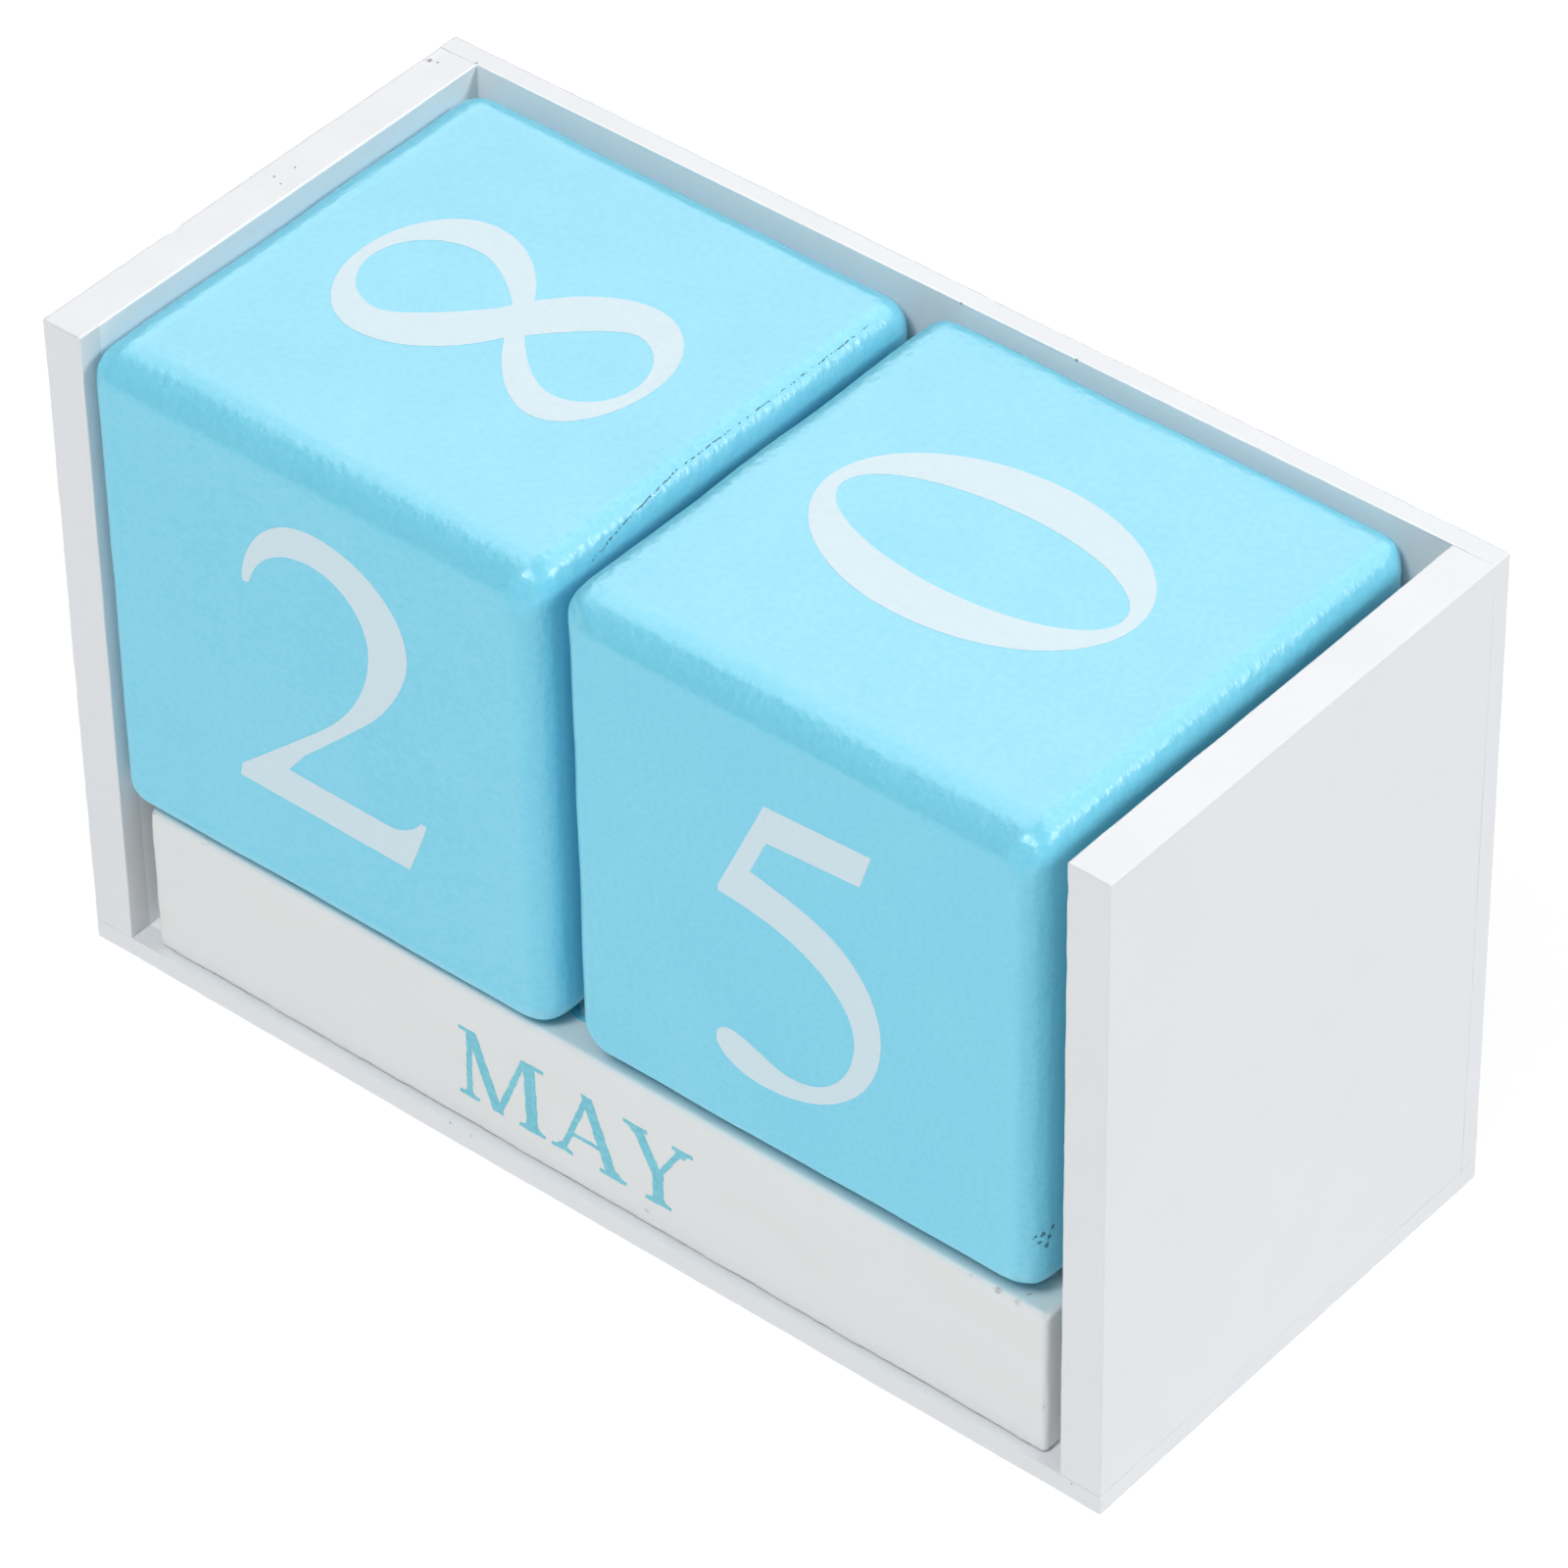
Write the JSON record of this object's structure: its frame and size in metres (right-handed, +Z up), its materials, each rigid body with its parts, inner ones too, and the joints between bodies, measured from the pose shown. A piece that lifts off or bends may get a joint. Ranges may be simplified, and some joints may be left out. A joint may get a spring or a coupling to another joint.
{
  "type": "block desk calendar",
  "caption": "Perpetual desk calendar: an open tray holding number cubes on square month bars, all lifted or drawn out by hand.",
  "frame": {"origin": "centre of the tray's underside", "axes": "+X to the right as the numbers are read, +Y towards the back panel, +Z up"},
  "size_m": [0.1136, 0.052, 0.0692],
  "materials": {
    "white_paint": "satin white paint on fibreboard",
    "light_blue_paint": "satin light blue paint on wood, edges sanded round",
    "bar_white_paint": "matt off-white paint on wood",
    "pin_steel": "drawn steel wire"
  },
  "bodies": {
    "tray": {"base_panel": "white_paint", "left_side_panel": "white_paint", "right_side_panel": "white_paint", "back_panel": "white_paint", "base_pin_left_front": "pin_steel", "base_pin_left_middle": "pin_steel", "base_pin_left_rear": "pin_steel", "base_pin_right_front": "pin_steel", "base_pin_right_middle": "pin_steel", "base_pin_right_rear": "pin_steel", "back_pin_left_low": "pin_steel", "back_pin_left_middle": "pin_steel", "back_pin_left_high": "pin_steel", "back_pin_right_low": "pin_steel", "back_pin_right_middle": "pin_steel", "back_pin_right_high": "pin_steel"},
    "left_cube": {"left_number_cube": "light_blue_paint"},
    "right_cube": {"right_number_cube": "light_blue_paint"},
    "front_bar": {"front_month_bar": "bar_white_paint"},
    "middle_bar": {"middle_month_bar": "bar_white_paint"},
    "rear_bar": {"rear_month_bar": "bar_white_paint"}
  },
  "joints": [
    {"name": "left_cube_lift", "type": "slide", "parent": "tray", "child": "left_cube", "axis": [0, 0, 1], "range_m": [0, 0.06]},
    {"name": "right_cube_lift", "type": "slide", "parent": "tray", "child": "right_cube", "axis": [0, 0, 1], "range_m": [0, 0.06]},
    {"name": "front_bar_slide", "type": "slide", "parent": "tray", "child": "front_bar", "axis": [0, -1, 0], "range_m": [0, 0.0498]},
    {"name": "middle_bar_slide", "type": "slide", "parent": "tray", "child": "middle_bar", "axis": [0, -1, 0], "range_m": [0, 0.0166]},
    {"name": "rear_bar_slide", "type": "slide", "parent": "tray", "child": "rear_bar", "axis": [0, -1, 0], "range_m": [0, 0.0166]}
  ],
  "couplings": [
    {"joint": "middle_bar_slide", "follows": "front_bar_slide", "ratio": 0.3333},
    {"joint": "rear_bar_slide", "follows": "front_bar_slide", "ratio": 0.3333}
  ]
}
